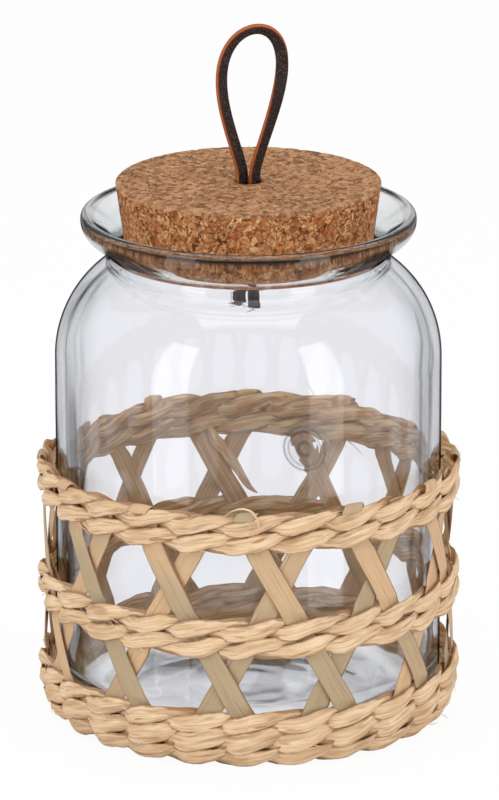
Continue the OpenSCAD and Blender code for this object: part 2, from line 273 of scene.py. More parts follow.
def jarProfile(j):
    # the same outline as the CAD's, in finer steps: up the outside, over the lip and down the inside
    neck, rim = j["bore"] + j["neckWall"], j["bore"] + j["neckWall"] + j["reach"]
    shoulderX, innerShoulder = j["radius"] - j["shoulder"], j["shoulder"] - j["wall"]
    outEnd = math.acos((neck + j["fillet"] - shoulderX) / (j["shoulder"] + j["fillet"]))
    inEnd = math.acos((j["bore"] + j["innerFillet"] - shoulderX) / (innerShoulder + j["innerFillet"]))
    neckZ = j["shoulderZ"] + (j["shoulder"] + j["fillet"]) * math.sin(outEnd)
    boreZ = j["shoulderZ"] + (innerShoulder + j["innerFillet"]) * math.sin(inEnd)
    outEnd, inEnd = outEnd / turnRad, inEnd / turnRad
    crookX, crookZ, rimTurn = neck + j["crook"], neckZ + j["neckRise"], 90 - j["slope"]
    crookEnd = arc(crookX, crookZ, j["crook"], 180, 180 - rimTurn, 6)
    rimStart = rim - j["rimCurve"] * (1 - math.cos(rimTurn * turnRad))
    rimZ = (crookEnd[-1][1] + (rimStart - crookEnd[-1][0]) * math.tan(j["slope"] * turnRad)
            + j["rimCurve"] * math.sin(rimTurn * turnRad))
    lipZ = rimZ + j["lipRise"]
    top = lipZ + j["lip"]
    seatZ = top - j["seatDepth"]
    mouth = math.atan2(lipZ - seatZ, rim - j["bore"] - 2 * j["lip"]) / turnRad
    flat = j["radius"] - j["heel"] - j["foot"]
    outside = [(flat * s, j["punt"] * (1 - s * s)) for s in (i / 16 for i in range(17))]
    outside += arc(j["radius"] - j["heel"], j["heel"], j["heel"], -90, 0, 20)
    sealBand = [j["sealZ"] - 11.5 + 0.5 * i for i in range(47)]
    outside += [(j["radius"], z) for z in (40.0, 60.0, *sealBand, 100.0, 120.0)]
    outside += arc(shoulderX, j["shoulderZ"], j["shoulder"], 0, outEnd, 24)
    outside += arc(neck + j["fillet"], neckZ, j["fillet"], 180 + outEnd, 180, 8)
    outside += crookEnd + arc(rim - j["rimCurve"], rimZ, j["rimCurve"], -rimTurn, 0, 10)
    inside = arc(rim - j["lip"], lipZ, j["lip"], 0, 90 + mouth, 12)
    inside += arc(j["bore"] + j["lip"], seatZ, j["lip"], 90 + mouth, 180, 8)
    inside += arc(j["bore"] + j["innerFillet"], boreZ, j["innerFillet"], 180, 180 + inEnd, 8)
    inside += arc(shoulderX, j["shoulderZ"], innerShoulder, inEnd, 0, 24)
    inside += [(j["radius"] - j["wall"], z) for z in (110.0, *reversed(sealBand), 50.0)]
    inside += arc(j["radius"] - j["heel"], j["floor"] + j["heel"] - j["wall"], j["heel"] - j["wall"], 0, -90, 16)
    inside += [(flat * s, j["floor"]) for s in (1 - i / 24 for i in range(1, 25))]
    kept = []
    for p in outside + inside:
        if not kept or math.dist(p, kept[-1]) > 0.02:
            kept.append(p)
    return kept


def smoothStep(value, low, high):
    t = min(1.0, max(0.0, (value - low) / (high - low)))
    return t * t * (3 - 2 * t)


def buildJar(j):
    profile = jarProfile(j)
    fine = [j["sealTurn"] + 0.25 * i for i in range(-36, 37)]
    turns = fine + [fine[-1] + (360 - (fine[-1] - fine[0])) * i / 140 for i in range(1, 140)]
    points, last = [], len(profile) - 1
    for i, (r, z) in enumerate(profile):
        if i in (0, last):
            points.append((0.0, 0.0, z))
            continue
        for a in turns:
            out = r
            if abs(r - j["radius"]) < 0.01 and abs(z - j["sealZ"]) < 11.5:
                d = math.hypot((a - j["sealTurn"]) * turnRad * r, z - j["sealZ"])
                ring = smoothStep(d, j["sealRing"] - 1.5, j["sealRing"] - 0.7) * (
                    1 - smoothStep(d, j["sealRing"] + 0.7, j["sealRing"] + 1.5))
                disc = 1 - smoothStep(d, j["sealDisc"] - 1.0, j["sealDisc"] + 0.4)
                out += j["sealRise"] * max(ring, 0.7 * disc)
            if abs(r - j["radius"] + j["wall"]) < 0.01 and abs(z - j["sealZ"]) < 11.5:
                d = math.hypot((a - j["sealTurn"]) * turnRad * r, z - j["sealZ"])
                lens = max(0.0, 1 - (d / (j["sealRing"] + 1.5)) ** 2)
                rings = math.exp(-((d - j["sealRing"] + 0.6) / 0.9) ** 2) + math.exp(-((d - j["sealDisc"]) / 0.8) ** 2)
                out -= j["sealDepth"] * lens ** 2 + 0.16 * rings
            x, y = math.sin(a * turnRad), -math.cos(a * turnRad)
            waves = j["waves"] * noise.noise(Vector((x * r, y * r, z)) * 0.035)
            if z < j["floor"] + 0.01 and r < j["radius"] - j["heel"]:
                swirl = math.sin(r * 0.55 + 3 * noise.noise(Vector((x * r, y * r, 9.0)) * 0.05))
                lift = j["swirl"] * smoothStep(r, 5, 22) * (swirl * 0.4 + noise.noise(Vector((x * r, y * r, 3.0)) * 0.09))
                points.append((x * r, y * r, z + (lift if z > 5 else 0.3 * abs(lift))))
            else:
                points.append((x * (out + waves), y * (out + waves), z))
    n, rings = len(turns), last - 1
    faces = [tuple(1 + k for k in f) for f in gridFaces(rings, n, closedColumns=True)]
    faces += [(0, 1 + k, 1 + (k + 1) % n) for k in range(n)]
    top = len(points) - 1
    faces += [(top, top - n + (k + 1) % n, top - n + k) for k in range(n)]
    return meshFrom("jarGlass", points, faces)


# the line colour is the dark glass mixed in as painted shade at the outline, the seal and the left wall
glassLook = {"tint": (0.982, 0.978, 0.992), "line": (0.06, 0.065, 0.08), "thick": (0.64, 0.76, 0.73), "density": 22.0,
             "shadow": (0.985, 0.985, 0.985), "rimClear": 0.78, "heelClear": 0.4}
glass, tree, out = newMaterial("clearGlass")
clear = tree.put("ShaderNodeBsdfGlass", None, {"Color": glassLook["tint"], "Roughness": 0.0, "IOR": 1.5})
dark = tree.put("ShaderNodeBsdfGlass", None, {"Color": glassLook["line"], "Roughness": 0.0, "IOR": 1.5})
facing = tree.put("ShaderNodeLayerWeight", None, {"Blend": 0.5}, out="Facing")
within = tree.put("ShaderNodeNewGeometry", out="Backfacing")
spot = tree.put("ShaderNodeTexCoord", None, (), out="Object")
height, spotX, spotY = tree.part(spot, "Z"), tree.part(spot, "X"), tree.part(spot, "Y")
# painted shade: a dark line at the outline, a fainter one inside it and a soft grey beyond, where the wall turns away,
# in place of the dark surroundings the glass would show there
outline = tree.step(facing, 0.83, 0.9)
inner = tree.step(facing, 0.645, 0.685) * tree.step(facing, 0.69, 0.73, 1.0, 0.0)
greyShade = tree.step(facing, 0.4, 0.66)
# painted shade: dark streaks that break up the grey lines
paintedStreaks = tree.step(tree.noise(tree.stretch(spot, (26.0, 26.0, 5.0)), 1.0, 3.0, 0.6), 0.48, 0.66)
# painted shade: dark lines at the seal's rings and a faint grey over its disc, in place of what its relief would
# refract
sealSpot = tuple(c * mm for c in (jar["radius"] * math.sin(jar["sealTurn"] * turnRad),
                                  -jar["radius"] * math.cos(jar["sealTurn"] * turnRad), jar["sealZ"]))
fromSeal = tree.put("ShaderNodeVectorMath", {"operation": "DISTANCE"}, [spot, sealSpot], out="Value")
rings = sum(tree.step((fromSeal - at * mm).abs(), 0.15 * mm, wide * mm, share, 0.0)
            for at, wide, share in ((jar["sealRing"] + 0.8, 0.6, 0.5), (jar["sealRing"] - 0.9, 0.5, 0.3),
                                    (jar["sealDisc"], 0.6, 0.42)))
disc = tree.step(fromSeal, jar["sealRing"] * mm, (jar["sealRing"] + 1.0) * mm, 0.12, 0.0)
# painted shade: a dark streaked band down the left wall only
leftShadeZone = tree.step(spotX * -1.0, 0.05, 0.066) * tree.step(height, 0.115, 0.15, 1.0, 0.25)
leftPaintedShade = tree.step(facing, 0.55, 0.62) * leftShadeZone * (paintedStreaks * 0.75 + 0.06)
# all the painted shade mixed into the glass, kept off the faces seen from inside
edge = (rings + disc + leftPaintedShade + outline * 0.85 + inner * (0.14 + paintedStreaks * 0.3) + greyShade * (0.1 + paintedStreaks * 0.16)) * (1.0 - within)
body = tree.put("ShaderNodeMixShader", None, [edge.least(1.0), clear, dark])
through = tree.put("ShaderNodeBsdfTransparent", None, {"Color": glassLook["shadow"]})
# the flared rim and the heel hold light in, so part of it goes straight through there
rimZone = tree.step(height, 0.1855, 0.1875) * tree.step(height, 0.1945, 0.1965, 1.0, 0.0)
heelZone = tree.step(height, 0.016, 0.021, 1.0, 0.0) * tree.step(spotX * spotX + spotY * spotY, 0.0034, 0.0040)
rays = tree.put("ShaderNodeLightPath", None, (), out="Is Shadow Ray")
plainness = rimZone * glassLook["rimClear"] + heelZone * glassLook["heelClear"]
body = tree.put("ShaderNodeMixShader", None, [plainness, body, through])
both = tree.put("ShaderNodeMixShader", None, [rays, body, through])
tree.nt.links.new(both.socket, out.inputs["Surface"])
inside = tree.put("ShaderNodeVolumeAbsorption", None, {"Color": glassLook["thick"], "Density": glassLook["density"]})
tree.nt.links.new(inside.socket, out.inputs["Volume"])
jarPiece = addPiece("jarGlass", buildJar(jar), [glass], "jar", ["glass_jar"])
print("jar:", len(jarPiece.data.polygons), "faces")

# Cork stopper
cork = {"foot": 184.093, "top": 212.593, "topRadius": 51.3, "taper": 7.6, "bevel": 1.0, "hole": 5.196,
        "chip": 0.35, "lump": 0.12}


def buildCork(c):
    slope = math.tan(c["taper"] * turnRad)
    footRadius, b = c["topRadius"] - (c["top"] - c["foot"]) * slope, c["bevel"]
    profile = [(c["hole"], c["foot"] + 0.1)]
    profile += [(c["hole"] + (footRadius - b - c["hole"]) * s / 14, c["foot"]) for s in range(1, 14)]
    profile += arc(footRadius - b, c["foot"] + b, b, -90, 0, 4)
    steps = 36
    for i in range(1, steps):
        z = c["foot"] + b + (c["top"] - c["foot"] - 2 * b) * i / steps
        profile.append((footRadius + (z - c["foot"]) * slope, z))
    profile += arc(c["topRadius"] - b, c["top"] - b, b, 0, 90, 5)
    profile += [(c["hole"] + (c["topRadius"] - b - c["hole"]) * s / 24, c["top"]) for s in range(23, 0, -1)]
    profile += [(c["hole"] + 0.5, c["top"]), (c["hole"], c["top"] - 0.6)]
    profile += [(c["hole"], c["top"] + (c["foot"] - c["top"]) * s / 8) for s in range(1, 8)]
    n, points = 240, []
    for r, z in profile:
        for k in range(n):
            a = k * 2 * math.pi / n
            p = Vector((r * math.sin(a), -r * math.cos(a), z))
            edge = max(0.0, 1 - math.hypot(r - c["topRadius"] + b / 2, z - c["top"] + b / 2) / 1.6)
            chips = max(0.0, noise.noise(p * 0.55) - 0.05) * c["chip"] * 4 * edge
            lumps = c["lump"] * (noise.noise(p * 0.45) + 0.5 * noise.noise(p * 1.1)) if r > 20 else 0.0
            inward = Vector((-math.sin(a), math.cos(a), -1.0)) * chips
            points.append(p + inward + Vector((math.sin(a), -math.cos(a), 0)) * lumps * (1 if r > 46 else 0)
                          - Vector((0, 0, 1)) * abs(lumps) * (1 if z > c["top"] - 0.1 else 0))
    return meshFrom("corkStopper", points, gridFaces(len(profile), n, closedRows=True, closedColumns=True))


corkLook = {"grain": 370.0, "fleck": 980.0, "topPale": rgb(202, 156, 114), "topMid": rgb(168, 120, 82),
            "topDark": rgb(108, 66, 40), "sidePale": rgb(234, 186, 132), "sideMid": rgb(192, 126, 76),
            "sideWarm": rgb(172, 98, 50), "sideDark": rgb(84, 44, 22)}
corkMaterial, tree, out = newMaterial("pressedCork")
place = tree.put("ShaderNodeTexCoord", None, (), out="Object")


def warped(tree, vector, scale, reach):
    # the same vector, pushed about by noise
    push = tree.put("ShaderNodeTexNoise", None, {"Vector": vector, "Scale": scale, "Detail": 2.0}, out="Color")
    centred = tree.put("ShaderNodeVectorMath", {"operation": "SUBTRACT"}, [push, (0.5, 0.5, 0.5)])
    scaled = tree.put("ShaderNodeVectorMath", {"operation": "SCALE"}, {0: centred, "Scale": reach})
    return tree.put("ShaderNodeVectorMath", {"operation": "ADD"}, [vector, scaled])


def granules(tree, vector, scale):
    # a tone for each granule, how near its edge lies, and streaks that run its own way
    ways = {"Vector": vector, "Scale": scale, "Randomness": 1.0}
    colour = tree.put("ShaderNodeTexVoronoi", None, ways, out="Color")
    rim = tree.put("ShaderNodeTexVoronoi", {"feature": "DISTANCE_TO_EDGE"}, ways, out="Distance")
    tone, spin = tree.part(colour, "X"), tree.part(colour, "Y")
    turned = tree.put("ShaderNodeVectorRotate", {"rotation_type": "AXIS_ANGLE"},
                      {"Vector": vector, "Axis": (0.5, 0.3, 0.8), "Angle": spin * 6.28})
    return tone, rim, tree.noise(tree.stretch(turned, (0.35, 2.2, 1.3)), scale * 2.2, 3.0, 0.6)


bent = warped(tree, place, 420.0, 0.0034)
isTop = tree.step(tree.part(place, "Z"), (cork["top"] - 1.1) * mm, (cork["top"] - 0.75) * mm)
bigTone, bigRim, bigStreak = granules(tree, bent, corkLook["grain"])
smallTone, smallRim, smallStreak = granules(tree, warped(tree, place, 700.0, 0.002), corkLook["fleck"])
chips = tree.step(tree.noise(place, 190.0, 1.0), 0.46, 0.56)
tone = chips * bigTone + (1.0 - chips) * smallTone
streak = chips * bigStreak + (1.0 - chips) * smallStreak
fineGrain = tree.noise(place, 3200.0, 3.0, 0.65)
pits = tree.step(tree.noise(bent, 640.0, 3.0, 0.62), 0.62, 0.68)
gaps = (1.0 - tree.step(bigRim, 0.0, 0.07)) * tree.step(tree.noise(place, 520.0, 2.0), 0.42, 0.52)
# thin cracks, and pale lines that wander between the chips as a painted highlight on their edges
veins = (tree.noise(tree.stretch(place, (1.0, 1.0, 1.35)), 460.0, 3.0, 0.6, 1.3) - 0.5).abs()
cracks = tree.step(veins, 0.004, 0.022, 1.0, 0.0) * tree.step(tree.noise(place, 330.0, 2.0), 0.46, 0.54)
torn = (tree.noise(tree.stretch(place, (1.3, 1.3, 1.0)), 520.0, 3.0, 0.6, 1.0) - 0.53).abs()
paintedChipHighlights = tree.step(torn, 0.006, 0.028, 1.0, 0.0) * tree.step(tree.noise(place, 410.0, 2.0), 0.5, 0.56)
sideColour = tree.ramp(tone * 0.55 + streak * 0.45, [(0.22, corkLook["sideDark"]), (0.38, corkLook["sideWarm"]),
                                                     (0.56, corkLook["sideMid"]), (0.82, corkLook["sidePale"])])
# painted highlight: the pale chip edges
sideColour = tree.mix(paintedChipHighlights * 0.75, sideColour, rgb(238, 190, 138))
sideColour = tree.mix((gaps * 0.75 + pits * 0.7 + cracks * 0.85).least(0.92), sideColour, corkLook["sideDark"])
low = warped(tree, place, 240.0, 0.004)
patches = tree.noise(low, 60.0, 3.0)
flat = {"Vector": tree.stretch(low, (1.0, 0.65, 1.0)), "Scale": 620.0}
flakeTone = tree.part(tree.put("ShaderNodeTexVoronoi", None, flat, out="Color"), "X")
thin = tree.noise(tree.stretch(low, (1.1, 0.66, 1.0)), 1150.0, 4.0, 0.75, 0.9)
topTone = (flakeTone * 0.24 + thin * 0.64 + patches * 0.12 - 0.5) * 3.0 + 0.5
topColour = tree.ramp(topTone, [(0.05, corkLook["topDark"]), (0.42, corkLook["topMid"]), (0.88, corkLook["topPale"])])
topColour = tree.mix(tree.step(patches, 0.52, 0.64) * 0.2, topColour, rgb(178, 118, 80))
ridges = (tree.noise(tree.stretch(low, (1.0, 1.2, 1.0)), 430.0, 3.0, 0.6, 1.4) - 0.5).abs()
slits = tree.step(ridges, 0.003, 0.022, 1.0, 0.0) * tree.step(tree.noise(place, 360.0, 2.0), 0.5, 0.56)
specks = tree.step(tree.noise(tree.stretch(low, (1.0, 0.7, 1.0), (0.3, 0.1, 0.0)), 900.0, 3.0, 0.6), 0.63, 0.69)
topColour = tree.mix(slits * 0.8, topColour, rgb(92, 54, 34))
topColour = tree.mix(specks * 0.6, topColour, rgb(222, 184, 146))
corkColour = tree.mix(isTop, sideColour, topColour)
sideRelief = tone * 0.5 + streak * 0.3 + paintedChipHighlights * 0.3 - gaps - pits - cracks
topRelief = thin * 0.4 - slits
relief = isTop * topRelief + (1.0 - isTop) * sideRelief + fineGrain * 0.25
finish(corkMaterial, tree, out, corkColour, 0.86, tree.bump(relief, 0.7, 0.0005), Specular_IOR_Level=0.22)
corkPiece = addPiece("corkStopper", buildCork(cork), [corkMaterial], "stopper", ["cork_stopper"])
print("cork:", len(corkPiece.data.polygons), "faces")

# Leather thong: one strap forms the loop and both legs, and is knotted under the cork
thong = {"width": 4.8, "thick": 1.9, "round": 0.35, "legX": 2.419, "pivotZ": 215.362, "rise": 58.1, "nod": 2.5,
         "swell": 14.7, "power": 1.6, "lean": 3.7, "turn": 45.0, "twistFrom": 160.0, "twistSpan": 150.0,
         "legFoot": 180.5, "knotZ": 179.246, "knotRadius": 6.7, "knotTilt": 20.0, "tail": 12.0, "splay": 3.2}


def strapSection(width, thick, corner):
    # points round the strap
    w, t, section = width / 2, thick / 2, []
    for cx, cy, start in ((w - corner, t - corner, 0), (-w + corner, t - corner, 90),
                          (-w + corner, -t + corner, 180), (w - corner, -t + corner, 270)):
        for x, y in arc(cx, cy, corner, start, start + 90, 2):
            section.append((x, y))
        if start in (0, 180):
            s = 1 if start == 0 else -1
            section += [(s * (w - corner) * k, s * t) for k in (0.5, 0.0, -0.5)]
    return section


def sweepStrap(path, frames, section, closed=False):
    # path points in mm; frames give the edge and broad directions at each
    points = []
    for i, p in enumerate(path):
        edge, broad = frames[i]
        for x, y in section:
            points.append(Vector(p) + edge * x + broad * y)
    n = len(section)
    faces = gridFaces(len(path), n, closedRows=closed, closedColumns=True)
    if not closed:
        faces += [tuple(range(n)), tuple(reversed(range((len(path) - 1) * n, len(path) * n)))]
    return points, faces


def planePath(centre, twists):
    # frames for a strap whose path lies in the plane of the photograph
    path, frames = [], []
    for i, (x, z) in enumerate(centre):
        a, b = centre[max(i - 1, 0)], centre[min(i + 1, len(centre) - 1)]
        run = Vector((b[0] - a[0], 0, b[1] - a[1])).normalized()
        inward, front, t = Vector((run.z, 0, -run.x)), Vector((0, -1, 0)), twists[i] * turnRad
        path.append((x, 0.0, z))
        frames.append((math.sin(t) * front - math.cos(t) * inward, math.cos(t) * front + math.sin(t) * inward))
    return path, frames


def markEdges(mesh, count, broadSides):
    # the cut edges take the second material
    for polygon in mesh.polygons:
        if len(polygon.vertices) == 4:
            sides = {v % count for v in polygon.vertices}
            polygon.material_index = 0 if any(sides <= broad for broad in broadSides) else 1
        else:
            polygon.material_index = 1


def leatherMap(mesh, path, section):
    # how far along and across the strap each corner lies, in metres
    along, total = [0.0], 0.0
    for a, b in zip(path, path[1:]):
        total += math.dist(a, b)
        along.append(total)
    layer = mesh.attributes.new("strap", "FLOAT_VECTOR", "CORNER")
    n = len(section)
    for loop in mesh.loops:
        i, j = divmod(loop.vertex_index, n)
        layer.data[loop.index].vector = (along[min(i, len(along) - 1)] * mm, section[j][0] * mm, section[j][1] * mm)


def loopCentre(t):
    centre, twists = [], []
    for i in range(14):
        centre.append((-t["legX"], t["legFoot"] + (t["pivotZ"] - t["legFoot"]) * i / 14))
        twists.append(t["turn"])
    steps = 120
    for i in range(steps + 1):
        a = (i / steps - 0.03 * math.sin(4 * math.pi * i / steps)) * 2 * math.pi
        rise = (1 - math.cos(a)) / 2
        half = t["legX"] * math.cos(a / 2) + t["swell"] * math.sin(a) * max(0.0, math.sin(a / 2)) ** t["power"]
        centre.append((t["lean"] * rise ** 3 - half, t["pivotZ"] + t["rise"] * rise))
        share = min(1.0, max(0.0, (a / turnRad - t["twistFrom"]) / t["twistSpan"]))
        twists.append(t["turn"] * math.cos(math.pi * share))
    for i in range(13, -1, -1):
        centre.append((t["legX"], t["legFoot"] + (t["pivotZ"] - t["legFoot"]) * i / 14))
        twists.append(-t["turn"])
    return centre, twists


leatherLook = {"dark": rgb(36, 22, 20), "sheen": rgb(104, 84, 82), "edge": rgb(184, 100, 54), "edgeDark": rgb(54, 28, 18),
               "black": rgb(22, 12, 10), "rust": rgb(92, 36, 22), "pebble": 1250.0}


def leatherMaterials(look):
    face, tree, out = newMaterial("darkLeather")
    place = tree.put("ShaderNodeTexCoord", None, (), out="Object")
    pebbles = tree.put("ShaderNodeTexVoronoi", {"feature": "SMOOTH_F1"},
                       {"Vector": place, "Scale": look["pebble"], "Smoothness": 0.6}, out="Distance")
    worn = tree.noise(place, 240.0, 3.0, 0.6)
    domes = 1.0 - tree.step(pebbles, 0.15, 0.6)
    # painted highlight: the tops of the pebbles turn paler, more so where the worn noise is high
    colour = tree.mix(domes * tree.step(worn, 0.35, 0.65, 0.25, 0.75), look["dark"], look["sheen"])
    finish(face, tree, out, colour, tree.step(worn, 0.3, 0.7, 0.48, 0.62), tree.bump(domes, 0.9, 0.0004),
           Specular_IOR_Level=0.35)
    worn, tree, out = newMaterial("wornLeather")
    place = tree.put("ShaderNodeTexCoord", None, (), out="Object")
    scuffs = tree.noise(place, 900.0, 3.0, 0.7)
    finish(worn, tree, out, tree.mix(tree.step(scuffs, 0.45, 0.65), look["black"], look["rust"]), 0.8,
           tree.bump(scuffs, 0.8, 0.0004), Specular_IOR_Level=0.15)
    edge, tree, out = newMaterial("cutLeather")
    strap = tree.put("ShaderNodeAttribute", {"attribute_name": "strap"}, (), out="Vector")
    across = tree.part(strap, "Z").abs()
    fibre = tree.noise(tree.stretch(strap, (0.25, 1.0, 1.0)), 2600.0, 3.0, 0.7)
    rim = tree.step(across, thong["thick"] * 0.2 * mm, thong["thick"] * 0.42 * mm)
    colour = tree.mix((rim * 0.85 + (fibre - 0.45) * 0.7).most(0.0).least(1.0), look["edge"], look["edgeDark"])
    finish(edge, tree, out, colour, 0.82, tree.bump(fibre, 0.5, 0.0002), Specular_IOR_Level=0.2)
    return face, edge, worn


darkLeather, cutLeather, wornLeather = leatherMaterials(leatherLook)
section = strapSection(thong["width"], thong["thick"], thong["round"])
broadSides = [{i for i, p in enumerate(section) if p[1] > thong["thick"] / 2 - 0.01},
              {i for i, p in enumerate(section) if p[1] < -thong["thick"] / 2 + 0.01}]


def strapPiece(name, parts):
    points, faces, maps, offset = [], [], [], 0
    for path, frames, closed in parts:
        p, f = sweepStrap(path, frames, section, closed)
        faces += [tuple(v + offset for v in face) for face in f]
        points += p
        maps += list(path)
        offset = len(points)
    mesh = meshFrom(name, points, faces)
    leatherMap(mesh, maps, section)
    markEdges(mesh, len(section), broadSides)
    return mesh


loopPath, loopFrames = planePath(*loopCentre(thong))
loopPath = [(x, -thong["nod"] * max(0.0, (z - thong["pivotZ"]) / thong["rise"]) ** 2, z) for x, y, z in loopPath]
loopPiece = addPiece("thongLoop", strapPiece("thongLoop", [(loopPath, loopFrames, False)]),
                     [darkLeather, cutLeather], None, ["thong_loop"])
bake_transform(loopPiece)


def knotParts(t):
    # two tilted wraps that pass over and under each other, and two free ends
    parts = []
    for side in (1, -1):
        path, frames, n = [], [], 64
        for i in range(n):
            a = 2 * math.pi * i / n
            r = t["knotRadius"] - t["thick"] / 2 - 0.55 + 0.5 * side * math.sin(a)
            tilt = side * t["knotTilt"] * turnRad
            x, y = r * math.cos(a), r * math.sin(a)
            path.append((x * math.cos(tilt), y, t["knotZ"] - x * math.sin(tilt)))
            outward = Vector((math.cos(a) * math.cos(tilt), math.sin(a), -math.cos(a) * math.sin(tilt)))
            frames.append((Vector((math.sin(tilt), 0, math.cos(tilt))), outward))
        parts.append((path, frames, True))
    half = t["knotRadius"] * math.sin(t["knotTilt"] * turnRad) + t["width"] / 2
    for x, splay, length in ((-t["thick"], -t["splay"], 0.8 * t["tail"]), (t["thick"], 0.4, t["tail"])):
        centre = [(x + splay * s * s, t["knotZ"] - (half + length) * s) for s in (i / 14 for i in range(15))]
        path, frames = planePath(centre, [t["turn"] + 12 * math.sin(i * 0.4) for i in range(15)])
        parts.append((path, frames, False))
    return parts


knotPiece = addPiece("thongKnot", strapPiece("thongKnot", knotParts(thong)), [wornLeather, wornLeather], "thong",
                     ["thong_knot"])
print("thong: loop and knot")

# Woven sleeve: leaves whose points are placed by Geometry Nodes
sleeve = {"stakes": 12, "radius": 79.0, "first": 1.0, "pitch": 7.2, "topZ": 95.0, "middleZ": 53.0, "firstZ": 19.199}
quarter = 180.0 / sleeve["stakes"]
highTurn, lowTurn = sleeve["topZ"] - sleeve["pitch"] / 2, sleeve["firstZ"] - sleeve["pitch"] / 2


def leafTree(name, inputs, along, around, material, place):
    # copies of one grid; place gives each point its position and stored values from how far along,
    # how far round and which copy it is
    nt = bpy.data.node_groups.new(name, "GeometryNodeTree")
    nt.interface.new_socket("Geometry", in_out="OUTPUT", socket_type="NodeSocketGeometry")
    for key, value in inputs.items():
        kind = "NodeSocketInt" if isinstance(value, int) else "NodeSocketFloat"
        nt.interface.new_socket(key, in_out="INPUT", socket_type=kind).default_value = value
    tree = Tree(nt)
    group = nt.nodes.new("NodeGroupInput")
    given = {key: Val(tree, group.outputs[key]) for key in inputs}
    line = tree.put("GeometryNodeMeshLine", {"mode": "OFFSET"}, {"Count": given["copies"], "Offset": (0.0, 0.0, 0.0)})
    numbered = tree.put("GeometryNodeStoreNamedAttribute", {"data_type": "FLOAT", "domain": "POINT"},
                        {"Geometry": line, "Name": "number", "Value": tree.put("GeometryNodeInputIndex")})
    grid = tree.put("GeometryNodeMeshGrid", None, {"Size X": 1.0, "Size Y": 1.0, "Vertices X": along,
                                                   "Vertices Y": around})
    copies = tree.put("GeometryNodeInstanceOnPoints", None, {"Points": numbered, "Instance": grid})
    shape = tree.put("GeometryNodeRealizeInstances", None, {"Geometry": copies})
    spot = tree.put("GeometryNodeInputPosition")
    number = tree.put("GeometryNodeInputNamedAttribute", {"data_type": "FLOAT"}, {"Name": "number"})
    position, stored = place(tree, given, tree.part(spot, "X") + 0.5, tree.part(spot, "Y") + 0.5, number)
    for key, value in stored.items():
        kind = "FLOAT_VECTOR" if key == "leaf" else "FLOAT"
        shape = tree.put("GeometryNodeStoreNamedAttribute", {"data_type": kind, "domain": "CORNER"},
                         {"Geometry": shape, "Name": key, "Value": value})
    shape = tree.put("GeometryNodeSetPosition", None, {"Geometry": shape, "Position": position})
    shape = tree.put("GeometryNodeMergeByDistance", None, {"Geometry": shape, "Distance": 0.000002})
    shape = tree.put("GeometryNodeSetMaterial", None, {"Geometry": shape, "Material": material})
    out = nt.nodes.new("NodeGroupOutput")
    nt.links.new(shape.socket, out.inputs[0])
    return nt


def grow(name, nt, values):
    # runs a tree once and keeps its result as a plain mesh
    carrier = bpy.data.objects.new(name, bpy.data.meshes.new(name))
    bpy.context.collection.objects.link(carrier)
    modifier = carrier.modifiers.new("grow", "NODES")
    modifier.node_group = nt
    for item in nt.interface.items_tree:
        if item.item_type == "SOCKET" and item.in_out == "INPUT" and item.name in values:
            modifier[item.identifier] = values[item.name]
    carrier.data.update()
    graph = bpy.context.evaluated_depsgraph_get()
    mesh = bpy.data.meshes.new_from_object(carrier.evaluated_get(graph), preserve_all_data_layers=True,
                                           depsgraph=graph)
    carrier.modifiers.remove(modifier)
    bpy.data.objects.remove(carrier)
    return mesh


def leafNoise(tree, x, y, z, scale=1.0, detail=1.0):
    # smooth noise from -1 to 1
    return (tree.noise(tree.vec(x, y, z), scale, detail) - 0.5) * 2.0


# in both looks the inside colours are the inner faces' own browner colour, lifted brighter as painted light; the
# weavers' brown is painted shade, and the last value sets how much painted shade the inner face takes in its folds
weaverLook = {"pale": rgb(246, 216, 178), "mid": rgb(228, 191, 149), "brown": rgb(146, 98, 58),
              "rough": rgb(188, 128, 72), "inside": rgb(255, 222, 168), "insideDark": rgb(228, 164, 108),
              "seams": 0.5}
stakeLook = {"olive": rgb(190, 168, 134), "tan": rgb(226, 188, 146), "line": rgb(140, 92, 54),
             "inside": rgb(244, 192, 132), "insideDark": rgb(206, 156, 102),
             "seams": 0.0}


def leafMaterial(name, look, colours, along, across, gloss):
    # fine fibres run along the leaf; its inner face takes its own browner colour, lifted brighter as painted light for
    # the little light that reaches it through the glass
    material, tree, out = newMaterial(name)
    leaf = tree.put("ShaderNodeAttribute", {"attribute_name": "leaf"}, (), out="Vector")
    side = tree.put("ShaderNodeAttribute", {"attribute_name": "side"}, (), out="Fac")
    fibres = tree.noise(tree.stretch(leaf, (along, across, 7.3)), 1.0, 4.0, 0.62)
    colour, rough = colours(tree, leaf, fibres)
    inner = tree.step(side, -0.3, 0.05, 1.0, 0.0)
    broad = tree.noise(tree.stretch(leaf, (along * 0.7, across * 0.3, 4.1)), 1.0, 3.0, 0.6)
    paintedLitInner = tree.mix(tree.step(fibres * 0.45 + broad * 0.55, 0.4, 0.6), look["insideDark"], look["inside"])
    pleat = tree.put("ShaderNodeAttribute", {"attribute_name": "pleat"}, (), out="Fac")
    # painted shade: the inner face browns in the pleat valleys
    paintedLitInner = tree.mix(tree.step(pleat, 0.02, 0.2, look["seams"], 0.0), paintedLitInner, rgb(128, 78, 44))
    colour = tree.mix(inner * 0.95, colour, paintedLitInner)
    height = fibres + tree.noise(tree.stretch(leaf, (along * 2.0, across * 2.6, 3.1)), 1.0, 2.0) * 0.5 + rough
    return finish(material, tree, out, colour, gloss, tree.bump(height, 0.6, 0.0004), Specular_IOR_Level=0.35)


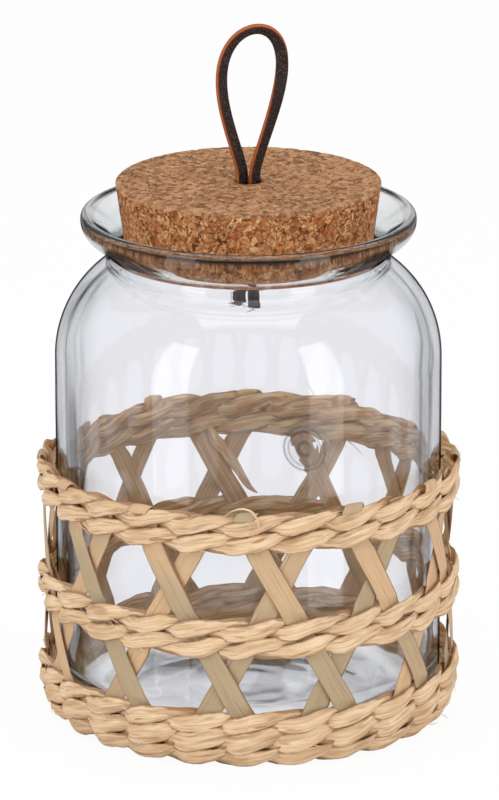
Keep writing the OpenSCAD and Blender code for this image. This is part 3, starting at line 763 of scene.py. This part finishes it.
def weaverColours(tree, leaf, fibres):
    patches = tree.noise(tree.stretch(leaf, (0.045, 0.12, 5.0)), 1.0, 2.0)
    pleat = tree.put("ShaderNodeAttribute", {"attribute_name": "pleat"}, (), out="Fac")
    colour = tree.mix(tree.step(fibres, 0.38, 0.6), weaverLook["mid"], weaverLook["pale"])
    colour = tree.mix(tree.step(patches, 0.48, 0.72) * 0.6, colour, rgb(206, 164, 118))
    # painted shade: thin brown streaks along the leaf, as the shade of creases
    paintedCreaseShade = tree.step(tree.noise(tree.stretch(leaf, (0.05, 0.95, 2.0)), 1.0, 3.0, 0.6), 0.57, 0.68)
    colour = tree.mix(paintedCreaseShade * 0.35, colour, weaverLook["brown"])
    # painted shade: brown in the pleat valleys
    seams = tree.step(pleat, 0.02, 0.15, 1.0, 0.0) * tree.step(fibres, 0.34, 0.62)
    colour = tree.mix(seams * 0.6, colour, weaverLook["brown"])
    frayed = tree.step(tree.noise(tree.stretch(leaf, (0.07, 0.35, 9.0)), 1.0, 1.0), 0.7, 0.76)
    # painted shade: brown along the strand's edges and where it turns under at the crossings
    hem = tree.put("ShaderNodeAttribute", {"attribute_name": "hem"}, (), out="Fac")
    ragged = tree.noise(tree.stretch(leaf, (0.25, 0.4, 3.0)), 1.0, 3.0, 0.6)
    colour = tree.mix(tree.step(hem + (ragged - 0.5) * 0.5, 0.8, 1.0) * 0.7, colour, weaverLook["brown"])
    crumbs = tree.noise(tree.stretch(leaf, (1.6, 3.2, 1.0)), 1.0, 2.0, 0.7)
    colour = tree.mix(frayed * tree.step(crumbs, 0.4, 0.6, 0.35, 1.0), colour, weaverLook["rough"])
    return colour, frayed * crumbs * 3.0


def stakeColours(tree, leaf, fibres):
    leafNumber, across = tree.part(leaf, "Z"), tree.part(leaf, "Y")
    tone = tree.noise(tree.vec(tree.part(leaf, "X") * 0.012, 0.0, leafNumber * 3.7), 1.0, 1.0)
    colour = tree.mix(tree.step(tone, 0.4, 0.6), stakeLook["olive"], stakeLook["tan"])
    colour = tree.mix(tree.step(fibres, 0.5, 0.68) * 0.4, colour, stakeLook["line"])
    # a fold line somewhere across each leaf, and one browned edge
    foldAt = leafNoise(tree, 0.0, leafNumber * 1.31, 4.0) * 16.0
    bend = leafNoise(tree, tree.part(leaf, "X") * 0.03, leafNumber * 0.7, 8.0) * 0.8
    fold = tree.step((across - foldAt - bend).abs(), 0.1, 0.3, 1.0, 0.0)
    browned = tree.step(across * leafNoise(tree, 2.0, leafNumber * 2.3, 1.0).math("SIGN"), 4.0, 4.7)
    hem = tree.put("ShaderNodeAttribute", {"attribute_name": "hem"}, (), out="Fac")
    browned = browned.most(tree.step(hem, 0.9, 0.97) * 0.7)
    patchy = tree.noise(tree.vec(tree.part(leaf, "X") * 0.05, across * 0.1, leafNumber * 5.3), 1.0, 2.0)
    folded = fold * tree.step(patchy, 0.45, 0.6)
    return tree.mix((folded * 0.3).most(browned * 0.8), colour, stakeLook["line"]), folded * -1.0


weaverLeaf = leafMaterial("weaverLeaf", weaverLook, weaverColours, 0.09, 1.5, 0.5)
stakeLeaf = leafMaterial("stakeLeaf", stakeLook, stakeColours, 0.05, 3.2, 0.5)

# One row of twining: two strands that change places between stakes
rowIn = {"copies": 2, "radius": sleeve["radius"], "height": 95.0, "tilt": 0.0, "middle": 8.5, "uneven": 0.0,
         "stakes": 12.0, "swing": 2.15, "cross": 1.75, "tall": 3.5, "crossTall": 2.5, "thick": 1.35, "crossThick": 0.8,
         "crease": 0.36, "wander": 0.35, "roll": 0.16, "seed": 0.0}


def placeRow(tree, g, u, v, number):
    a = u * (2 * math.pi)
    x, y = a.cos() * 6.0, a.sin() * 6.0
    z = number * 5.0 + g["seed"]
    base = (a - g["middle"] * turnRad) * g["stakes"]
    phase = base - g["uneven"] * base.cos() + leafNoise(tree, x, y, z + 11.0) * 0.55 + number * math.pi
    c, s = phase.cos(), phase.sin()
    size = c.abs()
    tall = (g["crossTall"] + (g["tall"] - g["crossTall"]) * (size ** 1.3)) * (
        leafNoise(tree, x * 1.4, y * 1.4, z + 30.0) * 0.26 + 1.0)
    thick = g["crossThick"] + (g["thick"] - g["crossThick"]) * (size ** 1.1)
    turn = v * (2 * math.pi)
    n0, h0 = turn.cos() * turn.cos().abs(), turn.sin()
    pleat = leafNoise(tree, x * 0.45, y * 0.45, h0 * 1.7 + z, 1.0, 1.0).abs()
    ripples = leafNoise(tree, x * 1.3, y * 1.3, h0 * 5.0 + z, 1.0, 1.0)
    n = thick * n0 * ((pleat.least(0.35) * 3.0 - 0.65 + ripples * 0.3) * g["crease"] + 1.0) + h0 * s * g["roll"] * 3.0
    outward = g["swing"] * c * (1.35 - c * c * 0.35) + n
    upward = g["cross"] * s + tall * h0 + leafNoise(tree, x * 0.7, y * 0.7, z + 60.0) * g["wander"]
    tilt = g["tilt"] * turnRad
    r = g["radius"] + outward * tilt.cos() + upward * tilt.sin()
    height = (g["height"] - outward * tilt.sin() + upward * tilt.cos()).most(0.1)
    position = tree.vec(r * a.sin() * mm, r * a.cos() * -mm, height * mm)
    # the hem value is high at the strand's edges and where it turns under, for its painted shade
    stored = {"leaf": tree.vec(a * g["radius"], h0 * tall, number + g["seed"] * 2.0), "side": n0, "pleat": pleat,
              "hem": h0.abs() + tree.step(c, -0.15, 0.4, 0.35, 0.0)}
    return position, stored


rowTree = leafTree("twinedRow", rowIn, 577, 33, weaverLeaf, placeRow)


def stakeTurn(way, z):
    # turn of a stake at height z, as in the CAD
    reach = highTurn - sleeve["middleZ"] if z > sleeve["middleZ"] else sleeve["middleZ"] - lowTurn
    share = max(-1.0, min(1.0, (sleeve["middleZ"] - z) / reach))
    return sleeve["first"] + (quarter if way > 0 else 0) + way * quarter * share


rows = {"TopUpper": (79.0, 98.6, 0.0, 3.5, 2.15), "TopLower": (79.0, 91.4, 0.0, 3.5, 2.15),
        "MiddleUpper": (79.0, 56.6, 0.0, 3.5, 2.15), "MiddleLower": (79.0, 49.4, 0.0, 3.5, 2.15),
        "BaseUpper": (79.0, 19.199, 0.0, 3.6, 2.15), "BaseSecond": (78.5, 11.999, 6.0, 4.4, 2.1),
        "BaseCurled": (76.2, 4.9, 34.0, 4.7, 1.7)}
for index, (name, (radius, height, tilt, tall, swing)) in enumerate(rows.items()):
    near, far = sorted(stakeTurn(way, height) % (2 * quarter) for way in (-1, 1))
    mesh = grow("weavers" + name, rowTree, {
        "radius": radius, "height": height, "tilt": tilt, "tall": tall, "crossTall": tall * (0.9 if tilt else 0.74),
        "swing": swing, "seed": 11.0 * index,
        "middle": (near + far) / 2 - quarter / 2, "uneven": 6.0 * (quarter - far + near) * turnRad})
    node = "weaver_" + "".join("_" + c.lower() if c.isupper() else c for c in name)[1:]
    addPiece("weavers" + name, mesh, [], "jar", [node + "_a", node + "_b"])
print("sleeve: rows of weavers")

# Stakes: flat leaves that lean one way outside and the other way inside
stakeIn = {"copies": 12, "radius": sleeve["radius"], "first": sleeve["first"], "way": 1.0, "foot": 2.3, "top": 102.2,
           "wide": 9.9, "pinch": 8.0, "thick": 0.4, "layer": 0.75, "fold": 1.45, "foldTurn": 2.9, "flap": 2.1,
           "rise": 1.1, "seed": 0.0}


def placeStake(tree, g, u, v, number):
    way, outer = g["way"], g["way"].most(0.0)
    chance = leafNoise(tree, number * 3.3, g["seed"], number * 1.7)
    fold = g["fold"] * (chance * 0.15 + 1.0)
    bend = g["foldTurn"] * outer
    straight = g["top"] - g["foot"] + chance * g["rise"] * outer
    run = u * (straight + (bend * fold + g["flap"]) * outer)
    over = (run - straight).most(0.0)
    angle = (over / fold).least(bend)
    flap = (over - bend * fold).most(0.0)
    low = run.least(straight) + g["foot"]
    z = low + fold * angle.sin() + flap * angle.cos()
    inPanel = (tree.step(low, 22.8, 26.3) - tree.step(low, 42.3, 45.8) + tree.step(low, 60.2, 63.7)
               - tree.step(low, 84.3, 87.8))
    free = (tree.step(low, 18.0, 22.0) - tree.step(low, 47.0, 51.0) + tree.step(low, 55.0, 59.0)
            - tree.step(low, 90.0, 95.0))
    wide = (g["pinch"] + (g["wide"] - g["pinch"]) * free) * (
        leafNoise(tree, low * 0.045, number * 2.7, way * 9.0) * 0.12 + 1.0)
    curl = (14.0 - low).most(0.0)
    r = (g["radius"] + way * g["layer"] * inPanel - curl * curl * 0.035 + fold * (1.0 - angle.cos())
         + flap * angle.sin())
    isUpper = low.math("GREATER_THAN", sleeve["middleZ"])
    reach = isUpper * (highTurn - sleeve["middleZ"]) + (1.0 - isUpper) * (sleeve["middleZ"] - lowTurn)
    share = ((sleeve["middleZ"] - low) / reach).most(-1.0).least(1.0)
    turn = g["first"] + outer * quarter + number * (2 * quarter) + way * quarter * share
    wander = leafNoise(tree, low * 0.04, number * 1.9, way * 5.0 + 40.0) * 0.9 * inPanel
    h0, n0 = (v * (2 * math.pi)).cos(), (v * (2 * math.pi)).sin()
    ends = tree.step(u, 0.0, 0.003) * tree.step(u, 0.997, 1.0, 1.0, 0.0)
    ripple = leafNoise(tree, low * 0.05, h0 * 1.6 + number * 3.0, way * 3.0, 1.0, 2.0) * 0.18 * inPanel
    n = n0 * g["thick"] * (1.0 - (h0 ** 6.0) * 0.75) * ends + ripple
    slope = curl * 0.07
    lean = (slope * slope + 1.0) ** -0.5
    outR = n * lean * angle.cos()
    outZ = n * (slope * lean * -1.0 - angle.sin())
    sideways = h0 * wide * 0.5 * ends + wander - over * 0.6
    azimuth = turn * turnRad + sideways / g["radius"]
    radius = r + outR
    position = tree.vec(radius * azimuth.sin() * mm, radius * azimuth.cos() * -mm, (z + outZ) * mm)
    stored = {"leaf": tree.vec(run, h0 * wide * 0.5, number + way * 20.0 + 40.0), "hem": h0.abs(),
              "side": n0 * angle.cos() + angle * 0.4}
    return position, stored


stakeTree = leafTree("latticeStake", stakeIn, 241, 25, stakeLeaf, placeStake)
for way, name, node in ((1.0, "outerStakes", "outer_stake_"), (-1.0, "innerStakes", "inner_stake_")):
    mesh = grow(name, stakeTree, {"way": way, "seed": 3.0 + way})
    addPiece(name, mesh, [], "jar", [f"{node}{k}" for k in range(1, 13)])
print("sleeve: stakes")

# Loose ends: a fibre that arches over the front, a torn strip inside the back, frays and the knot's hairs
loose = {"fibre": [(-9.1, 103.3), (-6.0, 105.6), (-2.1, 106.4), (1.5, 105.0), (3.5, 101.5), (3.9, 98.5), (3.4, 96.0)],
         "fibreOut": 83.3, "fibreWide": (0.5, 0.8, 0.4), "fibreThick": 0.25,
         "strip": [(-17.4, 95.5), (-13.8, 86.0), (-9.1, 80.3), (-4.5, 73.0), (-0.2, 66.0), (3.7, 62.8)],
         "stripOut": 76.6, "stripWide": (5.4, 4.4, 1.6), "stripThick": 0.28}


def leafRibbon(name, spots, radius, front, wide, thick):
    # a flat tapered strip laid on a cylinder round the jar, through spots given across and up
    path = []
    for i in range(len(spots) - 1):
        p = [Vector(spots[min(max(i + k, 0), len(spots) - 1)]) for k in (-1, 0, 1, 2)]
        for t in (k / 10 for k in range(10)):
            path.append(0.5 * (2 * p[1] + (p[2] - p[0]) * t + (2 * p[0] - 5 * p[1] + 4 * p[2] - p[3]) * t * t
                               + (3 * p[1] - p[0] - 3 * p[2] + p[3]) * t ** 3))
    path.append(Vector(spots[-1]))
    path = [Vector((x, (-1 if front else 1) * math.sqrt(radius * radius - x * x), z)) for x, z in path]
    points, stored, n, last = [], [], 14, len(path) - 1
    for i, spot in enumerate(path):
        run = (path[min(i + 1, last)] - path[max(i - 1, 0)]).normalized()
        outward = Vector((spot.x, spot.y, 0)).normalized()
        across, share = outward.cross(run), i / last
        width = wide[0] + (wide[1] - wide[0]) * share * 2 if share < 0.5 else wide[1] + (wide[2] - wide[1]) * (share * 2 - 1)
        width *= 1 + 0.25 * noise.noise(Vector((spot.z * 0.3, 0, 7)))
        end = min(1.0, 4 * share, 6 * (1 - share)) * 0.8 + 0.2
        for k in range(n):
            a = 2 * math.pi * k / n
            curl = thick * 0.8 * math.cos(2 * a + spot.z * 0.2)
            points.append(spot + across * (width / 2 * math.cos(a) * end) + outward * (thick * math.sin(a) + curl * end))
            stored.append(((i * 1.1, width / 2 * math.cos(a), 70.0), math.sin(a)))
    faces = gridFaces(len(path), n, closedColumns=True)
    faces += [tuple(range(n)), tuple(reversed(range(last * n, (last + 1) * n)))]
    mesh = meshFrom(name, points, faces)
    corners = [loop.vertex_index for loop in mesh.loops]
    leafs, sides = [c for v in corners for c in stored[v][0]], [stored[v][1] for v in corners]
    mesh.attributes.new("leaf", "FLOAT_VECTOR", "CORNER").data.foreach_set("vector", leafs)
    mesh.attributes.new("side", "FLOAT", "CORNER").data.foreach_set("value", sides)
    mesh.attributes.new("pleat", "FLOAT", "CORNER").data.foreach_set("value", [0.5] * len(sides))
    return mesh


addPiece("strayFibre", leafRibbon("strayFibre", loose["fibre"], loose["fibreOut"], True, loose["fibreWide"],
                                  loose["fibreThick"]), [weaverLeaf], "jar")
addPiece("tornStrip", leafRibbon("tornStrip", loose["strip"], loose["stripOut"], False, loose["stripWide"],
                                 loose["stripThick"]), [weaverLeaf], "jar")

frayIn = {"copies": 46, "radius": 80.6, "height": 95.0, "spread": 7.0, "length": 8.0, "lift": 2.2, "thick": 0.22,
          "seed": 1}


def dice(tree, number, seed, low, high):
    # an even random number for each copy
    return tree.put("FunctionNodeRandomValue", {"data_type": "FLOAT"}, {2: low, 3: high, 7: number, 8: seed}, out=1)


def placeFray(tree, g, u, v, number):
    seeds = [g["seed"] * 8.0 + float(k) for k in range(8)]
    turn = dice(tree, number, seeds[0], 0.0, 2 * math.pi)
    way = (dice(tree, number, seeds[1], -1.0, 1.0)).math("SIGN")
    length = g["length"] * dice(tree, number, seeds[2], 0.45, 1.3)
    slope = dice(tree, number, seeds[3], -0.7, 0.9)
    curl = dice(tree, number, seeds[4], -0.45, 0.45)
    lift = g["lift"] * dice(tree, number, seeds[5], 0.3, 1.2)
    run = u * length
    along = run * slope.cos() * way
    upward = g["spread"] * dice(tree, number, seeds[6], -1.0, 1.0) + run * slope.sin() + curl * run * u
    end = tree.step(u, 0.0, 0.02) * (1.0 - u ** 3.0) * g["thick"]
    turned = v * (2 * math.pi) * way
    r = g["radius"] + lift * u * (1.6 - u * 0.6) + turned.sin() * end * 0.7
    azimuth = turn + along / g["radius"]
    z = (g["height"] + upward).most(0.5) + turned.cos() * end
    position = tree.vec(r * azimuth.sin() * mm, r * azimuth.cos() * -mm, z * mm)
    return position, {"leaf": tree.vec(run, turned.cos() * 0.2, number), "side": 0.5 + u * 0.0, "pleat": 0.5 + u * 0.0}


frayTree = leafTree("frays", frayIn, 15, 7, weaverLeaf, placeFray)
for seed, (name, height, spread, copies) in enumerate((("fraysTop", 95.0, 7.6, 52), ("fraysMiddle", 53.0, 7.0, 34),
                                                        ("fraysBase", 13.0, 8.0, 40))):
    mesh = grow(name, frayTree, {"height": height, "spread": spread, "copies": copies, "seed": seed + 1})
    addPiece(name, mesh, [], "jar")

hairIn = {"copies": 34, "x": -3.6, "z": 166.0, "rise": 7.0, "length": 4.4, "thick": 0.17, "seed": 9}


def placeHair(tree, g, u, v, number):
    seeds = [g["seed"] * 8.0 + float(k) for k in range(6)]
    turn = dice(tree, number, seeds[0], 0.0, 2 * math.pi)
    run = u * g["length"] * dice(tree, number, seeds[1], 0.4, 1.2)
    slope = dice(tree, number, seeds[2], -1.1, 0.7)
    out = run * slope.cos() + 0.5
    z = g["z"] + g["rise"] * dice(tree, number, seeds[3], 0.0, 1.0) + run * slope.sin() + run * u * 0.25
    end = tree.step(u, 0.0, 0.02) * (1.0 - u ** 3.0) * g["thick"]
    turned = v * (2 * math.pi)
    x, y = turn.cos() * out - turn.sin() * turned.sin() * end, turn.sin() * out + turn.cos() * turned.sin() * end
    return tree.vec((g["x"] + x) * mm, y * mm, (z + turned.cos() * end) * mm), {}


hairTree = leafTree("knotHairs", hairIn, 9, 6, wornLeather, placeHair)
for name, x, z, copies, seed in (("knotHairsLeft", -4.2, 163.4, 34, 9), ("knotHairsRight", 2.2, 161.8, 34, 10)):
    addPiece(name, grow(name, hairTree, {"x": x, "z": z, "copies": copies, "seed": seed}), [], "thong")
print("loose ends: fibre, strip, frays and hairs")

bpy.context.scene.view_settings.view_transform = "Standard"
